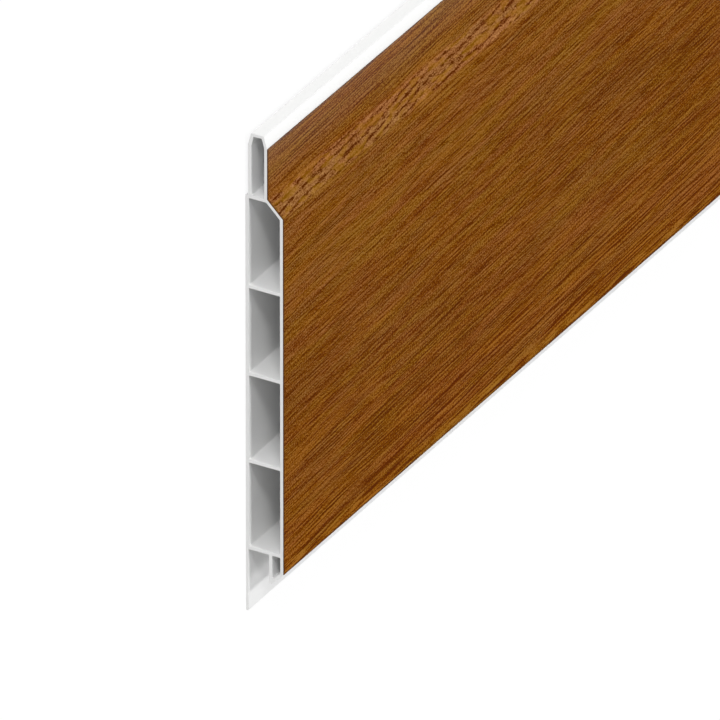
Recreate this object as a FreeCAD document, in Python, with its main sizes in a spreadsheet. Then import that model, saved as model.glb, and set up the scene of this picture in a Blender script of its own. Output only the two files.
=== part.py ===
import FreeCAD, Part
import os
import Sketcher

# Hollow tongue-and-groove soffit board: a white extruded profile with a woodgrain foil on its show side.
# It lies on its back face. X runs along the board, Y across it towards the tongue, Z out of the show side.
# Sections are drawn from the free edge of the nailing leg (across) and from the back face (out).

# Driving dimensions, in millimetres and degrees
DIMENSIONS = {
    "board_length": 2500,
    "cover_width": 100,  # from one fixed board to the same edge of the next
    "board_thickness": 9,  # back face to the outside of the foil
    "foil_thickness": 0.15,
    "back_wall": 0.8,
    "front_wall": 0.7,
    "web_wall": 0.7,
    "cell_pitch": 20.57,  # from one web to the next
    "groove_depth": 14.6,  # free edge of the nailing leg to the lowest web
    "leg_wall": 0.6,  # nailing leg
    "lip_wall": 0.7,  # inner lip of the groove
    "nose_height": 10.55,  # free edge of the nailing leg to the lower edge of the show face
    "nose_wall": 0.7,
    "nose_angle": 45,  # nose to the show face
    "bevel_angle": 45,  # bevel to the show face
    "bevel_wall": 0.65,
    "tongue_thickness": 4.65,  # with its foil
    "tongue_back_wall": 0.75,
    "tongue_front_wall": 0.65,
    "tongue_tip_wall": 0.65,
    "taper_depth": 0.75,  # how far each side of the tongue leans in at its tip
    "taper_length": 2.8,
    "expansion_gap": 1.85,  # left above the tongue in the next board's groove
    "back_clearance": 0.05,  # tongue to the next board's nailing leg
    "face_clearance": 0.2,  # foiled tongue to the next board's inner lip
    "edge_radius": 0.2,  # free outer edges
    "cell_radius": 0.25,  # corners inside the cells
}

doc = FreeCAD.newDocument("soffit_board")
dims = doc.addObject("Spreadsheet::Sheet", "dims")
for row, (alias, size) in enumerate(DIMENSIONS.items(), start=1):
    dims.set(f"A{row}", alias)
    dims.set(f"B{row}", str(size))
    dims.setAlias(f"B{row}", alias)
doc.recompute()

# Distances out from the back face
CELL_BACK = "dims.back_wall"
SHOW_FACE = "(dims.board_thickness - dims.foil_thickness)"
CELL_FRONT = f"({SHOW_FACE} - dims.front_wall)"
TONGUE_BACK = "(dims.leg_wall + dims.back_clearance)"
TONGUE_FACE = f"({TONGUE_BACK} + dims.tongue_thickness - dims.foil_thickness)"
LIP_BACK = f"({TONGUE_BACK} + dims.tongue_thickness + dims.face_clearance)"
LIP_FRONT = f"({LIP_BACK} + dims.lip_wall)"

# Distances across from the free edge of the nailing leg
SHOULDER = "(dims.cover_width - dims.expansion_gap)"
TONGUE_TIP = f"({SHOULDER} + dims.groove_depth)"
TAPER_START = f"({TONGUE_TIP} - dims.taper_length)"
LIP_EDGE = f"(dims.nose_height - ({SHOW_FACE} - {LIP_FRONT}) / tan(dims.nose_angle))"
BEVEL_EDGE = f"({SHOULDER} - ({SHOW_FACE} - {TONGUE_FACE}) / tan(dims.bevel_angle))"

# Corners of the outside of the profile, each as (across, out)
LEG_BACK_EDGE = ("0", "0")
SHOULDER_EDGE = (SHOULDER, "0")
TIP_BACK_EDGE = (TONGUE_TIP, f"{TONGUE_BACK} + dims.taper_depth")
TIP_FRONT_EDGE = (TONGUE_TIP, f"{TONGUE_FACE} - dims.taper_depth")
NOSE_EDGE = ("dims.nose_height", SHOW_FACE)
LIP_FRONT_EDGE = (LIP_EDGE, LIP_FRONT)
LIP_BACK_EDGE = (LIP_EDGE, LIP_BACK)
LEG_FRONT_EDGE = ("0", "dims.leg_wall")
OUTSIDE = [
    LEG_BACK_EDGE,
    SHOULDER_EDGE,
    (SHOULDER, TONGUE_BACK),
    (TAPER_START, TONGUE_BACK),
    TIP_BACK_EDGE,
    TIP_FRONT_EDGE,
    (TAPER_START, TONGUE_FACE),
    (SHOULDER, TONGUE_FACE),
    (BEVEL_EDGE, SHOW_FACE),
    NOSE_EDGE,
    LIP_FRONT_EDGE,
    LIP_BACK_EDGE,
    ("dims.groove_depth", LIP_BACK),
    ("dims.groove_depth", "dims.leg_wall"),
    LEG_FRONT_EDGE,
]
FREE_EDGES = [
    LEG_BACK_EDGE,
    LEG_FRONT_EDGE,
    LIP_BACK_EDGE,
    LIP_FRONT_EDGE,
    NOSE_EDGE,
    SHOULDER_EDGE,
    TIP_BACK_EDGE,
    TIP_FRONT_EDGE,
]

# The cells: like cells between the webs, a last one behind the bevel, and those in the nose and tongue
FIRST_CELL = "(dims.groove_depth + dims.web_wall)"
BEVEL_CELL_TOP = f"({SHOULDER} - dims.web_wall)"
BEVEL_WALL_ACROSS = "dims.bevel_wall / sin(dims.bevel_angle)"
BEVEL_CELL_EDGE = (
    f"({SHOULDER} - ({CELL_FRONT} - {TONGUE_FACE}) / tan(dims.bevel_angle) - {BEVEL_WALL_ACROSS})"
)
NARROWEST_CELL = "4 * dims.cell_radius"
LIKE_CELLS = f"trunc(({BEVEL_CELL_EDGE} - {FIRST_CELL} - {NARROWEST_CELL}) / dims.cell_pitch)"
BEVEL_CELL_START = f"({FIRST_CELL} + {LIKE_CELLS} * dims.cell_pitch)"
NOSE_WALL_ACROSS = "dims.nose_wall / sin(dims.nose_angle)"
TONGUE_CELL_TIP = f"({TONGUE_TIP} - dims.tongue_tip_wall)"
TONGUE_CELL_BACK = f"({TONGUE_BACK} + dims.tongue_back_wall)"
TONGUE_CELL_FRONT = f"({TONGUE_FACE} - dims.tongue_front_wall)"
CELL_TAPER = "(dims.taper_depth * (1 - dims.tongue_tip_wall / dims.taper_length))"
LIKE_CELL = [
    (FIRST_CELL, CELL_BACK),
    ("dims.groove_depth + dims.cell_pitch", CELL_BACK),
    ("dims.groove_depth + dims.cell_pitch", CELL_FRONT),
    (FIRST_CELL, CELL_FRONT),
]
BEVEL_CELL = [
    (BEVEL_CELL_START, CELL_BACK),
    (BEVEL_CELL_TOP, CELL_BACK),
    (BEVEL_CELL_TOP, f"{TONGUE_FACE} + (dims.web_wall - {BEVEL_WALL_ACROSS}) * tan(dims.bevel_angle)"),
    (BEVEL_CELL_EDGE, CELL_FRONT),
    (BEVEL_CELL_START, CELL_FRONT),
]
NOSE_CELL = [
    (f"{LIP_EDGE} + {NOSE_WALL_ACROSS}", LIP_FRONT),
    ("dims.groove_depth", LIP_FRONT),
    ("dims.groove_depth", CELL_FRONT),
    (f"dims.nose_height - dims.front_wall / tan(dims.nose_angle) + {NOSE_WALL_ACROSS}", CELL_FRONT),
]
TONGUE_CELL = [
    (SHOULDER, TONGUE_CELL_BACK),
    (TAPER_START, TONGUE_CELL_BACK),
    (TONGUE_CELL_TIP, f"{TONGUE_CELL_BACK} + {CELL_TAPER}"),
    (TONGUE_CELL_TIP, f"{TONGUE_CELL_FRONT} - {CELL_TAPER}"),
    (TAPER_START, TONGUE_CELL_FRONT),
    (SHOULDER, TONGUE_CELL_FRONT),
]

# The foil covers the tongue's face, the bevel and the show face, and ends above the rounded nose
FOIL_OUTSIDE = "dims.board_thickness"
FOIL_ON_TONGUE = f"{TONGUE_FACE} + dims.foil_thickness"
FOIL_LOWER_EDGE = "dims.nose_height + dims.edge_radius"
FOIL_CORNER_SHIFT = "dims.foil_thickness * tan(dims.bevel_angle / 2)"
FOIL = [
    (FOIL_LOWER_EDGE, SHOW_FACE),
    (BEVEL_EDGE, SHOW_FACE),
    (SHOULDER, TONGUE_FACE),
    (TAPER_START, TONGUE_FACE),
    (TAPER_START, FOIL_ON_TONGUE),
    (f"{SHOULDER} + {FOIL_CORNER_SHIFT}", FOIL_ON_TONGUE),
    (f"{BEVEL_EDGE} + {FOIL_CORNER_SHIFT}", FOIL_OUTSIDE),
    (FOIL_LOWER_EDGE, FOIL_OUTSIDE),
]


def place(corner):
    across, out = corner
    return FreeCAD.Vector(float(dims.evalExpression(across)), float(dims.evalExpression(out)), 0)


def new_body(name):
    body = doc.addObject("PartDesign::Body", name)
    body.Label = name
    body.setExpression("Placement.Base.y", f"-{TONGUE_TIP} / 2")
    return body


def section_sketch(body, name, corners):
    """A closed outline across the board, each corner held by its distances across and out."""
    sketch = body.newObject("Sketcher::SketchObject", name)
    plane = next(feature for feature in body.Origin.OriginFeatures if feature.Role == "YZ_Plane")
    sketch.AttachmentSupport = [(plane, "")]
    sketch.MapMode = "FlatFace"
    places = [place(corner) for corner in corners]
    for start, end in zip(places, places[1:] + places[:1]):
        sketch.addGeometry(Part.LineSegment(start, end))
    for line in range(len(corners)):
        sketch.addConstraint(Sketcher.Constraint("Coincident", line, 2, (line + 1) % len(corners), 1))
    for line, (corner, start) in enumerate(zip(corners, places)):
        for direction, expression, distance in zip(("DistanceX", "DistanceY"), corner, start):
            held = sketch.addConstraint(Sketcher.Constraint(direction, -1, 1, line, 1, distance))
            sketch.setExpression(f"Constraints[{held}]", expression)
    return sketch


def extrude(body, name, sketch):
    """The section run out along the board, half of its length each way."""
    pad = body.newObject("PartDesign::Pad", name)
    pad.Profile = sketch
    pad.SideType = "Symmetric"
    pad.setExpression("Length", "dims.board_length")
    return pad


def hollow(body, name, corners):
    """One closed cell cut through from end to end."""
    pocket = body.newObject("PartDesign::Pocket", name)
    pocket.Profile = section_sketch(body, f"{name}_section", corners)
    pocket.SideType = "Symmetric"
    pocket.Type = "ThroughAll"
    return pocket


def lengthwise_edges(shape):
    """Name and section place of each edge that runs from end to end."""
    for number, edge in enumerate(shape.Edges, start=1):
        start, end = (vertex.Point for vertex in edge.Vertexes)
        if abs(end.x - start.x) > shape.BoundBox.XLength / 2:
            yield f"Edge{number}", FreeCAD.Vector(start.y, start.z, 0)


def is_among(point, corners):
    return any(point.isEqual(place(corner), 1e-4) for corner in corners)


def round_edges(body, name, edges, radius):
    """A fillet along the named edges of the body's last feature."""
    fillet = body.newObject("PartDesign::Fillet", name)
    fillet.Base = (fillet.BaseFeature, edges)
    fillet.setExpression("Radius", radius)
    doc.recompute()
    body.Tip = fillet


def hollow_profile():
    body = new_body("hollow_profile")
    extrude(body, "profile_run", section_sketch(body, "profile_section", OUTSIDE))
    like_cell = hollow(body, "like_cell", LIKE_CELL)
    doc.recompute()
    like_cells = body.newObject("PartDesign::LinearPattern", "like_cells")
    like_cells.Originals = [like_cell]
    like_cells.Direction = (like_cell.Profile[0], ["H_Axis"])
    like_cells.Mode = "Spacing"
    like_cells.setExpression("Offset", "dims.cell_pitch")
    like_cells.setExpression("Occurrences", LIKE_CELLS)
    body.Tip = like_cells
    doc.recompute()
    hollow(body, "bevel_cell", BEVEL_CELL)
    hollow(body, "nose_cell", NOSE_CELL)
    tongue_cell = hollow(body, "tongue_cell", TONGUE_CELL)
    doc.recompute()
    shape = tongue_cell.Shape
    cell_corners = [name for name, point in lengthwise_edges(shape) if not is_among(point, OUTSIDE)]
    round_edges(body, "cell_corners", cell_corners, "dims.cell_radius")
    shape = body.Tip.Shape
    free_edges = [name for name, point in lengthwise_edges(shape) if is_among(point, FREE_EDGES)]
    round_edges(body, "free_edges", free_edges, "min(dims.edge_radius; dims.leg_wall / 3)")
    return body


def woodgrain_foil():
    body = new_body("woodgrain_foil")
    extrude(body, "foil_run", section_sketch(body, "foil_section", FOIL))
    return body


subparts = [hollow_profile(), woodgrain_foil()]
doc.recompute()

for feature in doc.Objects:
    if "Invalid" in feature.State or "Error" in feature.State:
        raise RuntimeError(f"{feature.Name} failed: {feature.State}")
for subpart in subparts:
    if subpart.Shape.isNull() or not subpart.Shape.isValid() or len(subpart.Shape.Solids) != 1:
        raise RuntimeError(f"{subpart.Label} is not one sound solid")

os.makedirs("parts", exist_ok=True)
for subpart in subparts:
    subpart.Shape.exportStep(f"parts/{subpart.Label}.step")
    print(subpart.Label, f"{subpart.Shape.Volume / 1000:.1f} cm3", subpart.Shape.BoundBox)
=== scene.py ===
import math

import bpy
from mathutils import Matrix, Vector


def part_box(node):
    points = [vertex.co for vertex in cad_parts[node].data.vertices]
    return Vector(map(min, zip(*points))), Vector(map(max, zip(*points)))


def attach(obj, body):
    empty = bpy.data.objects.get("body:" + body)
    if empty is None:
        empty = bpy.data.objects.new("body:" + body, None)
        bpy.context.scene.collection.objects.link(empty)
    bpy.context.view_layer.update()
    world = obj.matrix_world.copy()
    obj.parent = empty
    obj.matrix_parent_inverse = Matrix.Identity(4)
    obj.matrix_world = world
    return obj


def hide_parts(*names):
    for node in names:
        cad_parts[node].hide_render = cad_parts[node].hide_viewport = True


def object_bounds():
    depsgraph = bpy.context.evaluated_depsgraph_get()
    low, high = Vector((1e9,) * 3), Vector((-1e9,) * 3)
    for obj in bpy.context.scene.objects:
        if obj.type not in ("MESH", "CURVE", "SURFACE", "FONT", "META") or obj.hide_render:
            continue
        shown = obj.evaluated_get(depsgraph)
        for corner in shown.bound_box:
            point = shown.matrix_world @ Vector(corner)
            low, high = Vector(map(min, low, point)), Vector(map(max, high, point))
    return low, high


# A hollow soffit board lying on its back, foiled side up, seen from its near end and its tongue side.
# X runs along the board, Y across it towards the tongue, Z out of the foil.

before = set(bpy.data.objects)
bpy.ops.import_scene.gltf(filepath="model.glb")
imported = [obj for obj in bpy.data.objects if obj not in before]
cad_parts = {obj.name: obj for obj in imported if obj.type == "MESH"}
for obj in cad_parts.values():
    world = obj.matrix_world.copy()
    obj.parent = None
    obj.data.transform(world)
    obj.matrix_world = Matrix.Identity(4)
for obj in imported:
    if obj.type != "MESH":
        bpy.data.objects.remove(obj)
cad_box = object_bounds()


def srgb(red, green, blue):
    """A colour given as it shows on screen, 0 to 255, in the linear values that materials take."""
    shown = (value / 255 for value in (red, green, blue))
    linear = (value / 12.92 if value <= 0.04045 else ((value + 0.055) / 1.055) ** 2.4 for value in shown)
    return (*linear, 1)


MM = 0.001
TURN = 2 * math.pi
WHITE = (1, 1, 1, 1)
profile_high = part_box("hollow_profile")[1]
foil_low, foil_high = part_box("woodgrain_foil")
BOARD_END = profile_high.x

# Camera: the photograph is a parallel view, so a very long lens stands far off
CAMERA_AZIMUTH = 237.0
CAMERA_ELEVATION = 25.5
CAMERA_DISTANCE = 6.8
CAMERA_LENS = 1650
NEAREST_SEEN = 0.1
FARTHEST_SEEN = 200
AIM = Vector((-1.2183, -0.0103, foil_high.z))

# Light: a plain dome, a broad soft lamp overhead and smaller ones that draw the shadows
DOME_STRENGTH = 0.35

# Lamps, each with the direction that it stands in, its power and its spread in degrees
LAMPS = {
    "overhead": (Vector((0.1, 0, 1)), 0.65, 30),
    "tongue_side": (Vector((-0.1, 0.65, 1)), 1.2, 8),
    "near_end_high": (Vector((-0.6, 1, 0.5)), 0.56, 10),
    "near_end_low": (Vector((-0.6, 1, 0.25)), 0.66, 10),
}

# Floor: nearly white to the eye, so that little but the board's shadow shows on it
PALE_FLOOR = (0.86, 0.86, 0.86, 1)
FLOOR_GLOW = 1.04
GLOW_SHARE = 0.85
FLOOR_SIZE = 80
FLOOR_DROP = 0.01 * MM

# Copies of the solids: how their triangles are joined up and their edges eased
JOINED_WITHIN = 0.001 * MM
FLAT_WITHIN = math.radians(0.2)
EASED_FROM = math.radians(40)
SMOOTH_UP_TO = math.radians(35)
EASE_SEGMENTS = 2
PROFILE_EASE = 0.06 * MM
FOIL_EASE = 0.03 * MM

# White plastic: a faintly clouded skin and duller sawn ends
SKIN_WHITES = [(0.3, srgb(233, 233, 232)), (0.7, srgb(237, 237, 237))]
SAWN_WHITE = srgb(236, 236, 235)
SAWN_FACING = 0.9
PLASTIC_ROUGHNESS = 0.38
SAWN_DULLNESS = 0.14
CLOUD_DULLNESS = 0.05
SAW_MARK_SHARE = 0.3
PLASTIC_RELIEF = 0.004

# The tongue's tip is bare plastic, with painted light on its tapered face and painted shade on the
# narrow face at its very edge
LIT_TAPER_WHITE = srgb(246, 246, 245)
SHADED_TIP_WHITE = srgb(230, 230, 229)
TIP_FACE = 56.2 * MM

# Patterns of the plastic, with the length of their grains along, across and out in millimetres
CLOUD = {"size": (60, 12, 12), "detail": 2}
DIE_LINES = {"size": (400, 0.35, 0.35), "detail": 1}
SAW_MARKS = {"size": (1, 2.5, 0.12), "detail": 1}

# The foil runs from its lower edge at the nose, over the bevel and out over the tongue
FOIL_EDGE = foil_low.y
BEVEL_TOP = 38.1 * MM
TONGUE_FOOT = 41.8 * MM
TONGUE_EDGE = foil_high.y

# Bands of the foil: the two at the nose fade out between their places, the others fade in
AT_NOSE = (FOIL_EDGE + 1.5 * MM, FOIL_EDGE + 4 * MM)
NEAR_NOSE = (FOIL_EDGE + 6 * MM, FOIL_EDGE + 36 * MM)
# The upper half of the flat face fades in paler: painted light
LIT_UPPER_HALF = (4 * MM, 19 * MM)
ON_BEVEL = (BEVEL_TOP - 0.3 * MM, BEVEL_TOP + 0.3 * MM)
ON_TONGUE = (TONGUE_FOOT - 0.3 * MM, TONGUE_FOOT + 0.3 * MM)

# The grain runs a little askew and wanders, and beside each pore is a painted highlight, as where its
# embossed edge would catch the light
GRAIN_SLANT = 0.05
GRAIN_WANDER = 2.4 * MM
HIGHLIGHT_OFFSET = 0.5 * MM
HIGHLIGHT_SHARE = 0.24

# Patterns of the print, with the length of their grains along, across and out in millimetres
WANDER = {"size": (50, 16, 16), "detail": 1, "seed": 5}
WOBBLE = {"size": (7, 2.5, 2.5), "detail": 1, "seed": 83}
LONG_PORES = {"size": (26, 0.33, 0.33), "detail": 0.6, "seed": 3}
SHORT_PORES = {"size": (4.5, 0.27, 0.27), "detail": 0.5, "seed": 11}
MARKS = {
    "grit": {"size": (0.42, 0.28, 0.28), "detail": 0, "seed": 23},
    "streaks": {"size": (70, 2.6, 2.6), "detail": 2, "seed": 31},
    "mottle": {"size": (22, 3.0, 3.0), "detail": 3, "seed": 41},
    "rosiness": {"size": (24, 3.2, 3.2), "detail": 4, "roughness": 0.65, "seed": 53},
    "greenness": {"size": (30, 3.6, 3.6), "detail": 4, "roughness": 0.65, "seed": 71},
    "tone": {"size": (90, 30, 30), "detail": 1, "seed": 131},
    "edge_blotches": {"size": (8, 0.9, 0.9), "detail": 1, "seed": 113},
    "flecks": {"size": (2.8, 0.32, 0.32), "detail": 1, "seed": 61},
    "dashes": {"size": (2.6, 0.45, 0.45), "detail": 1.5, "seed": 97},
    "yellow_flecks": {"size": (5, 1.2, 1.2), "detail": 1, "seed": 107},
}

# The noise between which each kind of mark fades in or out
LONG_PORE_FADE = (0.38, 0.54)
SHORT_PORE_FADE = (0.35, 0.53)
PATCH_FADE = (0.36, 0.64)
FLECK_FADE = (0.36, 0.54)
DASH_FADE = (0.55, 0.72)
YELLOW_FADE = (0.46, 0.62)

# How pale the flat faces' ground is and how dark their pores, and what each band adds to that
FLAT_GROUND = 0.64
# The upper half's paler ground is painted light
GROUND_BY_BAND = {"lit_upper_half": 0.09, "near_nose": 0.06, "at_nose": 0.09, "on_tongue": 0.03}
LONG_PORE_DARKNESS = 0.32
LONG_PORES_BY_BAND = {"near_nose": 0.3, "on_tongue": 0.22}
SHORT_PORE_DARKNESS = 0.38
SHORT_PORES_BY_BAND = {"near_nose": -0.06, "on_tongue": -0.12}

# How strongly marks lighten and darken the print, on the flat faces and on the bevel
NOISE_MIDDLE = 0.5
FLAT_SHARES = {"grit": 1.6, "streaks": 0.22, "mottle": 0.16, "tone": 0.25}
BEVEL_SHARES = {"grit": 1.2, "mottle": 0.5}
BLOTCH_SHARE = 2.3

# The bevel shows rows of dark dashes, with dark and yellow flecks
BEVEL_GROUND = 0.655
ROW_SPACING = 0.9 * MM
ROW_WOBBLE = 2.5
ROW_SHARE = 0.22
DASH_DARKNESS = 0.48
FLECK_DARKNESS = 0.3
YELLOW_SHARE = 0.45

# Browns of the print, from its darkest pores to its palest streaks and painted highlights
GOLDEN_BROWNS = [
    (0.1, srgb(92, 41, 0)),
    (0.33, srgb(113, 60, 0)),
    (0.5, srgb(125, 73, 4)),
    (0.67, srgb(138, 87, 15)),
    (0.9, srgb(158, 108, 39)),
]
ROSY_BROWNS = [
    (0.1, srgb(85, 33, 0)),
    (0.33, srgb(105, 51, 4)),
    (0.5, srgb(117, 63, 17)),
    (0.67, srgb(131, 78, 31)),
    (0.9, srgb(151, 100, 55)),
]
# The bevel's browns: its print, made paler and bluer by painted sheen
BEVEL_BROWNS_AND_SHEEN = [
    (0.05, srgb(82, 34, 2)),
    (0.3, srgb(117, 68, 29)),
    (0.55, srgb(139, 90, 48)),
    (0.75, srgb(151, 102, 59)),
    (0.95, srgb(166, 117, 67)),
]
BEVEL_YELLOW = srgb(150, 102, 20)
CUT_BROWN = srgb(70, 46, 26)

# The share of rosy brown everywhere, what a rosy patch adds, and how much of both the nose loses
LEAST_ROSY = 0.2
PATCH_ROSY = 0.6
NOSE_ROSY_LOSS = 0.7

# Tints laid over the browns
REDDER = (1.03, 0.97, 1, 1)
GREENER = (0.965, 1.03, 1, 1)
WARMER = (1.015, 0.955, 0.8, 1)

# Painted sheen: the tongue's foil is whitened as by a glossy reflection, most of all in a strip along
# its edge
TONGUE_SHEEN = 0.022
EDGE_STRIP_SHEEN = 0.03
SHEEN_STRIP = 1 * MM

# The foil's cut edges are dark, and the print frays beside them
CUT_FACING = 0.3
CUT_REACH = 0.1 * MM
CUT_SHARE = 0.95
FRAYED_SHARE = 0.5
FRAYED_STRIP = (0.25 * MM, 0.6 * MM)

# The foil is dull, a little more so where it is pale, and embossed with its grain
FOIL_ROUGHNESS = 0.5
PALE_DULLNESS = 0.15
FOIL_SHINE = 0.004
EMBOSSING = 0.035


class Wire:
    """A number carried between nodes. Sums and products of wires add the Math nodes for them."""

    def __init__(self, finish, socket):
        self.finish = finish
        self.socket = socket

    def maths(self, operation, first, second):
        return self.finish.node("ShaderNodeMath", {"operation": operation}, {0: first, 1: second})

    def __add__(self, other):
        return self.maths("ADD", self, other)

    def __radd__(self, other):
        return self.maths("ADD", other, self)

    def __sub__(self, other):
        return self.maths("SUBTRACT", self, other)

    def __rsub__(self, other):
        return self.maths("SUBTRACT", other, self)

    def __mul__(self, other):
        return self.maths("MULTIPLY", self, other)

    def __rmul__(self, other):
        return self.maths("MULTIPLY", other, self)

    def __gt__(self, other):
        return self.maths("GREATER_THAN", self, other)

    def __lt__(self, other):
        return self.maths("LESS_THAN", self, other)

    def __abs__(self):
        return self.maths("ABSOLUTE", self, 0)

    def least(self, other):
        return self.maths("MINIMUM", self, other)

    def most(self, other):
        return self.maths("MAXIMUM", self, other)

    def sine(self):
        return self.maths("SINE", self, 0)


class Finish:
    """One material, or the studio's dome, and the nodes that make it."""

    def __init__(self, tree):
        self.tree = tree
        self.tree.nodes.clear()

    def node(self, kind, settings=None, sockets=None, output=0):
        """Adds a node. Its settings come first, then the values or links of its sockets."""
        made = self.tree.nodes.new(kind)
        for name, value in (settings or {}).items():
            if name == "stops":
                self.set_stops(made.color_ramp, value)
            else:
                setattr(made, name, value)
        for name, value in (sockets or {}).items():
            if isinstance(value, Wire):
                self.tree.links.new(value.socket, made.inputs[name])
            else:
                made.inputs[name].default_value = value
        return Wire(self, made.outputs[output]) if len(made.outputs) else None

    def set_stops(self, ramp, stops):
        for place, colour in stops[len(ramp.elements):]:
            ramp.elements.new(place)
        for element, (place, colour) in zip(ramp.elements, stops):
            element.position = place
            element.color = colour

    def place(self):
        """Where the surface point lies in the board's frame."""
        return self.node("ShaderNodeTexCoord", output="Object")

    def along(self, axis):
        """The point's place along one axis, in metres."""
        return self.node("ShaderNodeSeparateXYZ", sockets={0: self.place()}, output=axis)

    def facing(self, axis):
        """How squarely the surface faces along one axis, from -1 to 1."""
        normal = self.node("ShaderNodeTexCoord", output="Normal")
        return self.node("ShaderNodeSeparateXYZ", sockets={0: normal}, output=axis)

    def shifted(self, place, shift):
        return self.node("ShaderNodeVectorMath", {"operation": "ADD"}, {0: place, 1: shift})

    def noise(self, size, detail=0.0, roughness=0.5, place=None, seed=0.0):
        """Noise about 0.5. Its grains grow with size, three lengths in millimetres."""
        scale = [1 / (MM * length) for length in size]
        start = (seed, seed * 1.7, seed * 2.3)
        sized = self.node(
            "ShaderNodeMapping",
            {"vector_type": "POINT"},
            {"Vector": place or self.place(), "Scale": scale, "Location": start},
        )
        return self.node(
            "ShaderNodeTexNoise",
            {"noise_dimensions": "3D"},
            {"Vector": sized, "Scale": 1, "Detail": detail, "Roughness": roughness},
        )

    def ramp(self, value, stops):
        return self.node("ShaderNodeValToRGB", {"stops": stops}, {0: value})

    def between(self, value, low, high):
        """0 below low, 1 above high and a smooth rise between them."""
        settings = {"interpolation_type": "SMOOTHSTEP"}
        sockets = {"Value": value, "From Min": low, "From Max": high}
        return self.node("ShaderNodeMapRange", settings, sockets)

    def mix(self, amount, first, second, blend="MIX"):
        settings = {"data_type": "RGBA", "blend_type": blend}
        return self.node("ShaderNodeMix", settings, {0: amount, 6: first, 7: second}, output=2)

    def tinted(self, colour, tint):
        return self.mix(1, colour, tint, "MULTIPLY")

    def relief(self, height, depth):
        """A bump of that depth in millimetres where height is 1."""
        sockets = {"Height": height, "Distance": depth * MM, "Strength": 1}
        return self.node("ShaderNodeBump", sockets=sockets)

    def surface(self, **values):
        """The finished surface. Each value names its socket, with _ for a space."""
        sockets = {name.replace("_", " "): value for name, value in values.items()}
        shader = self.node("ShaderNodeBsdfPrincipled", sockets=sockets)
        self.node("ShaderNodeOutputMaterial", sockets={"Surface": shader})


def new_material(name):
    material = bpy.data.materials.new(name)
    material.use_nodes = True
    return material, Finish(material.node_tree)


def white_plastic():
    """White rigid plastic: a satin skin with faint die lines, a bare tip with painted light and shade,
    and duller sawn ends.
    """
    material, finish = new_material("white_plastic")
    across = finish.along("Y")
    sawn = abs(finish.facing("X")) > SAWN_FACING
    cloud = finish.noise(**CLOUD)
    die_lines = finish.noise(**DIE_LINES)
    saw_marks = finish.noise(**SAW_MARKS)
    colour = finish.ramp(cloud, SKIN_WHITES)
    # Painted light on the tongue's tapered face, then painted shade on the narrow face at its edge
    colour = finish.mix(across > TONGUE_EDGE, colour, LIT_TAPER_WHITE)
    colour = finish.mix(across > TIP_FACE, colour, SHADED_TIP_WHITE)
    colour = finish.mix(sawn, colour, SAWN_WHITE)
    relief = die_lines * (1 - sawn) + SAW_MARK_SHARE * saw_marks * sawn
    finish.surface(
        Base_Color=colour,
        Roughness=PLASTIC_ROUGHNESS + SAWN_DULLNESS * sawn + CLOUD_DULLNESS * cloud,
        Normal=finish.relief(relief, PLASTIC_RELIEF),
    )
    return material


def foil_bands(finish, across):
    """How far a point lies in each band of the foil, 0 to 1."""
    on_tongue = finish.between(across, *ON_TONGUE)
    return {
        "at_nose": 1 - finish.between(across, *AT_NOSE),
        "near_nose": 1 - finish.between(across, *NEAR_NOSE),
        "lit_upper_half": finish.between(across, *LIT_UPPER_HALF),
        "on_bevel": finish.between(across, *ON_BEVEL) - on_tongue,
        "on_tongue": on_tongue,
    }


def pores_at(finish, place, pattern, fade):
    return 1 - finish.between(finish.noise(place=place, **pattern), *fade)


def pores_with_highlights(finish, place, pattern, fade):
    """Dark pores, less the painted highlight beside each."""
    beside = finish.shifted(place, (0, HIGHLIGHT_OFFSET, 0))
    return pores_at(finish, place, pattern, fade) - HIGHLIGHT_SHARE * pores_at(finish, beside, pattern, fade)


def shaded(grain, marks, shares):
    """The grain, lightened and darkened by each mark's share."""
    for name, share in shares.items():
        grain = grain + share * (marks[name] - NOISE_MIDDLE)
    return grain


def by_band(value, shares, bands):
    """The value, with what each band adds to it."""
    for name, share in shares.items():
        value = value + share * bands[name]
    return value


def flat_grain(finish, place, bands, marks):
    """The grain of the flat faces, from about 0 in its darkest pores to 1 in its palest streaks."""
    long_pores = pores_with_highlights(finish, place, LONG_PORES, LONG_PORE_FADE)
    short_pores = pores_with_highlights(finish, place, SHORT_PORES, SHORT_PORE_FADE)
    grain = by_band(FLAT_GROUND, GROUND_BY_BAND, bands)
    grain = grain - by_band(LONG_PORE_DARKNESS, LONG_PORES_BY_BAND, bands) * long_pores
    grain = grain - by_band(SHORT_PORE_DARKNESS, SHORT_PORES_BY_BAND, bands) * short_pores
    grain = shaded(grain, marks, FLAT_SHARES)
    return grain + BLOTCH_SHARE * bands["at_nose"] * (marks["edge_blotches"] - NOISE_MIDDLE)


def flat_colour(finish, grain, bands, marks):
    """Golden brown, rosier in patches but hardly at the nose."""
    patches = finish.between(marks["rosiness"], *PATCH_FADE)
    rosiness = (LEAST_ROSY + PATCH_ROSY * patches) * (1 - NOSE_ROSY_LOSS * bands["at_nose"])
    return finish.mix(rosiness, finish.ramp(grain, GOLDEN_BROWNS), finish.ramp(grain, ROSY_BROWNS))


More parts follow.
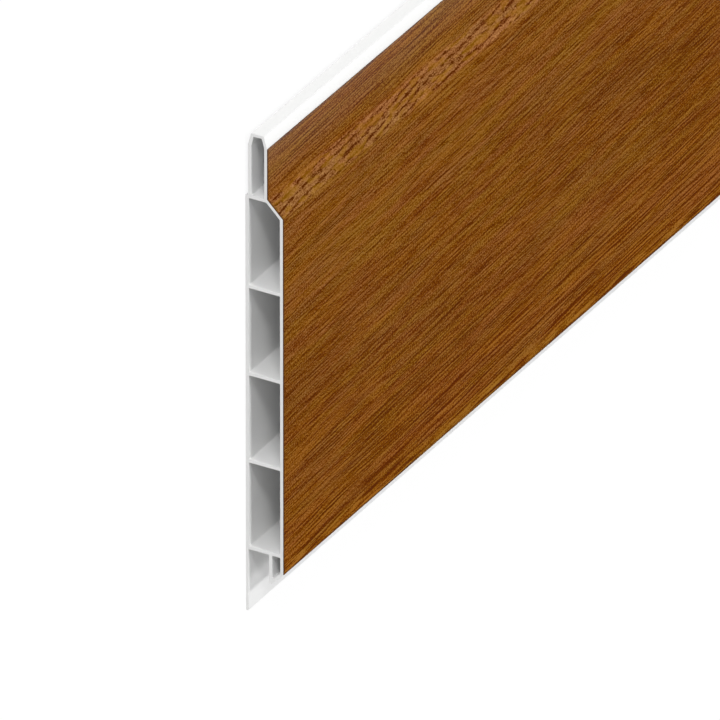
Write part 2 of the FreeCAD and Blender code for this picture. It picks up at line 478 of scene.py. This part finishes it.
def bevel_colour(finish, lane, marks):
    """Rows of broken dark dashes with yellow flecks, on a paler ground that is partly painted sheen. The
    lane is the place across the rows.
    """
    row = (lane * (TURN / ROW_SPACING) + ROW_WOBBLE * finish.noise(**WOBBLE)).sine()
    dark_row = finish.between(ROW_SHARE * row + marks["dashes"], *DASH_FADE)
    dark_flecks = 1 - finish.between(marks["flecks"], *FLECK_FADE)
    grain = BEVEL_GROUND - DASH_DARKNESS * dark_row - FLECK_DARKNESS * dark_flecks
    grain = shaded(grain, marks, BEVEL_SHARES)
    yellow_flecks = finish.between(marks["yellow_flecks"], *YELLOW_FADE)
    return finish.mix(YELLOW_SHARE * yellow_flecks, finish.ramp(grain, BEVEL_BROWNS_AND_SHEEN), BEVEL_YELLOW)


# Painted sheen over the tongue's foil, strongest in the strip along its edge
def painted_tongue_sheen(finish, across):
    sheen = TONGUE_SHEEN * finish.between(across, TONGUE_FOOT, TONGUE_EDGE)
    return sheen + EDGE_STRIP_SHEEN * finish.between(across, TONGUE_EDGE - SHEEN_STRIP, TONGUE_EDGE)


def cut_or_frayed(finish, across):
    """How dark the foil is at its cut edges and in the frayed strip beside them."""
    end_cut = abs(finish.facing("X")) > CUT_FACING
    tongue_cut = (across > TONGUE_EDGE - CUT_REACH) * (finish.facing("Y") > CUT_FACING)
    cut = end_cut.most(tongue_cut)
    inland = (BOARD_END - abs(finish.along("X"))).least(across - FOIL_EDGE)
    frayed = FRAYED_SHARE - FRAYED_SHARE * finish.between(inland, *FRAYED_STRIP)
    return frayed + (CUT_SHARE - frayed) * cut


def woodgrain_foil():
    """Printed and embossed foil: fine brown streaks, coarser down the bevel, where it is paler partly
    from its print and partly from painted sheen.
    """
    material, finish = new_material("woodgrain_foil")
    across = finish.along("Y")
    drift = (finish.noise(**WANDER) - NOISE_MIDDLE) * GRAIN_WANDER - GRAIN_SLANT * finish.along("X")
    sideways = finish.node("ShaderNodeCombineXYZ", sockets={"Y": drift})
    place = finish.shifted(finish.place(), sideways)
    marks = {name: finish.noise(place=place, **pattern) for name, pattern in MARKS.items()}
    bands = foil_bands(finish, across)
    grain = flat_grain(finish, place, bands, marks)
    colour = flat_colour(finish, grain, bands, marks)
    # The bevel's print with its painted sheen
    colour = finish.mix(bands["on_bevel"], colour, bevel_colour(finish, across + drift, marks))
    green_patches = finish.between(marks["greenness"], *PATCH_FADE)
    colour = finish.tinted(colour, finish.mix(green_patches, REDDER, GREENER))
    colour = finish.tinted(colour, finish.mix(bands["near_nose"], WHITE, WARMER))
    # Painted sheen on the tongue
    colour = finish.mix(painted_tongue_sheen(finish, across), colour, WHITE)
    colour = finish.mix(cut_or_frayed(finish, across), colour, CUT_BROWN)
    finish.surface(
        Base_Color=colour,
        Roughness=FOIL_ROUGHNESS + PALE_DULLNESS * grain,
        Specular_IOR_Level=FOIL_SHINE,
        Normal=finish.relief(grain, EMBOSSING),
    )
    return material


def floor_material():
    """White to the eye, with the board's shadow left on it as on a pale floor."""
    material, finish = new_material("pale_floor")
    seen = seen_by_eye(finish)
    pale = finish.node("ShaderNodeBsdfDiffuse", sockets={"Color": PALE_FLOOR})
    white = finish.node("ShaderNodeEmission", sockets={"Color": WHITE, "Strength": FLOOR_GLOW})
    shader = finish.node("ShaderNodeMixShader", sockets={0: seen * GLOW_SHARE, 1: pale, 2: white})
    finish.node("ShaderNodeOutputMaterial", sockets={"Surface": shader})
    return material


def seen_by_eye(finish):
    """1 for what the camera sees, straight, mirrored or through glass, and 0 for gathered light."""
    straight = finish.node("ShaderNodeLightPath", output="Is Camera Ray")
    reflected = finish.node("ShaderNodeLightPath", output="Is Glossy Ray")
    through = finish.node("ShaderNodeLightPath", output="Is Transmission Ray")
    return straight.most(reflected).most(through)


def finished_copy(node, name, material, ease_width):
    """A copy of a solid, with its triangles joined up and its edges eased, in the given material."""
    bpy.ops.object.select_all(action="DESELECT")
    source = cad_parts[node]
    piece = bpy.data.objects.new(name, source.data.copy())
    bpy.context.scene.collection.objects.link(piece)
    piece.data.name = name
    bpy.context.view_layer.objects.active = piece
    piece.select_set(True)
    bpy.ops.object.mode_set(mode="EDIT")
    bpy.ops.mesh.select_all(action="SELECT")
    bpy.ops.mesh.customdata_custom_splitnormals_clear()
    bpy.ops.mesh.remove_doubles(threshold=JOINED_WITHIN)
    bpy.ops.mesh.dissolve_limited(angle_limit=FLAT_WITHIN)
    bpy.ops.object.mode_set(mode="OBJECT")
    ease = piece.modifiers.new("ease", "BEVEL")
    ease.width = ease_width
    ease.segments = EASE_SEGMENTS
    ease.limit_method = "ANGLE"
    ease.angle_limit = EASED_FROM
    bpy.ops.object.modifier_apply(modifier="ease")
    bpy.ops.object.shade_smooth_by_angle(angle=SMOOTH_UP_TO)
    flat = piece.modifiers.new("flat_faces", "WEIGHTED_NORMAL")
    flat.keep_sharp = True
    bpy.ops.object.modifier_apply(modifier="flat_faces")
    piece.data.materials.clear()
    piece.data.materials.append(material)
    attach(piece, "root")
    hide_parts(node)
    return piece


def lay_floor():
    bpy.ops.object.select_all(action="DESELECT")
    bpy.ops.mesh.primitive_plane_add(size=FLOOR_SIZE, location=(0, 0, cad_box[0].z - FLOOR_DROP))
    floor = bpy.context.object
    floor.name = "floor"
    floor.data.transform(floor.matrix_world)
    floor.location = (0, 0, 0)
    floor.data.materials.append(floor_material())


def light_from(name, direction, power, spread):
    lamp = bpy.data.lights.new(name, "SUN")
    lamp.energy = power
    lamp.angle = math.radians(spread)
    light = bpy.data.objects.new(name, lamp)
    light.rotation_euler = direction.to_track_quat("Z", "Y").to_euler()
    bpy.context.scene.collection.objects.link(light)


def light_scene():
    world = bpy.data.worlds.new("studio")
    bpy.context.scene.world = world
    world.use_nodes = True
    finish = Finish(world.node_tree)
    strength = DOME_STRENGTH + (1 - DOME_STRENGTH) * seen_by_eye(finish)
    dome = finish.node("ShaderNodeBackground", sockets={"Color": WHITE, "Strength": strength})
    finish.node("ShaderNodeOutputWorld", sockets={"Surface": dome})
    for name, (direction, power, spread) in LAMPS.items():
        light_from(name, direction, power, spread)


def set_camera():
    """The board's width stands upright in the picture, as in the photograph."""
    azimuth = math.radians(CAMERA_AZIMUTH)
    elevation = math.radians(CAMERA_ELEVATION)
    level = math.cos(elevation)
    back = Vector((math.sin(azimuth) * level, -math.cos(azimuth) * level, math.sin(elevation)))
    right = Vector((0, 1, 0)).cross(back).normalized()
    up = back.cross(right)
    camera = bpy.data.cameras.new("camera")
    camera.lens = CAMERA_LENS
    camera.clip_start = NEAREST_SEEN
    camera.clip_end = FARTHEST_SEEN
    viewer = bpy.data.objects.new("camera", camera)
    bpy.context.scene.collection.objects.link(viewer)
    turn = viewer.matrix_world.copy()
    for column, axis in enumerate((right, up, back)):
        for line in range(3):
            turn[line][column] = axis[line]
    viewer.matrix_world = turn
    viewer.location = AIM + back * CAMERA_DISTANCE
    bpy.context.scene.camera = viewer


profile = finished_copy("hollow_profile", "white_profile", white_plastic(), PROFILE_EASE)
foil = finished_copy("woodgrain_foil", "foil_skin", woodgrain_foil(), FOIL_EASE)
lay_floor()
light_scene()
set_camera()
bpy.context.scene.view_settings.view_transform = "Standard"
